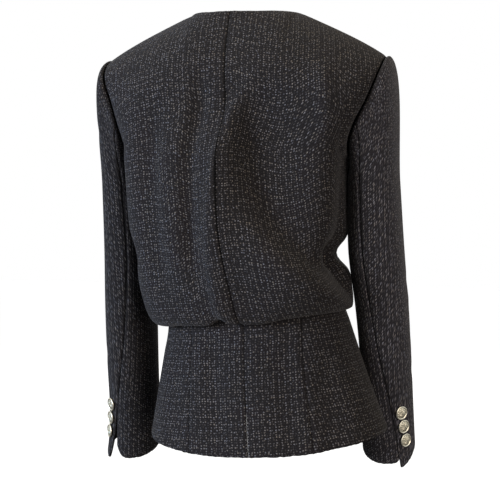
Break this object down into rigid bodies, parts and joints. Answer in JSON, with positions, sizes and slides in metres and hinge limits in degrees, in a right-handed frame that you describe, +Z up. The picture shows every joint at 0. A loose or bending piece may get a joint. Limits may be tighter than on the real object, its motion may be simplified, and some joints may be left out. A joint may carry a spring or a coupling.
{
  "type": "collarless tweed peplum jacket",
  "caption": "Collarless dark tweed jacket in its worn form, with a bloused back over a waist seam, a flared peplum, and sleeves ending in buttoned vents.",
  "frame": {"origin": "midway between the neck ends of the two shoulder seams and 2 mm above them, where the wearer's shoulders carry the jacket", "axes": "+X to the wearer's left, +Y out of the back, +Z up"},
  "size_m": [0.4647, 0.281, 0.6493],
  "materials": {
    "tweed": "matte woven wool with light flecks",
    "button_metal": "satin silver with a warm cast"
  },
  "bodies": {
    "root": {"back_left": "tweed", "back_right": "tweed", "front_left": "tweed", "front_right": "tweed", "upper_sleeve_left": "tweed", "under_sleeve_left": "tweed", "upper_sleeve_right": "tweed", "under_sleeve_right": "tweed", "peplum_back_left": "tweed", "peplum_back_right": "tweed", "peplum_side_left": "tweed", "peplum_side_right": "tweed", "peplum_front_left": "tweed", "peplum_front_right": "tweed", "button_left_1": "button_metal", "button_left_2": "button_metal", "button_left_3": "button_metal", "button_right_1": "button_metal", "button_right_2": "button_metal", "button_right_3": "button_metal"}
  },
  "joints": []
}
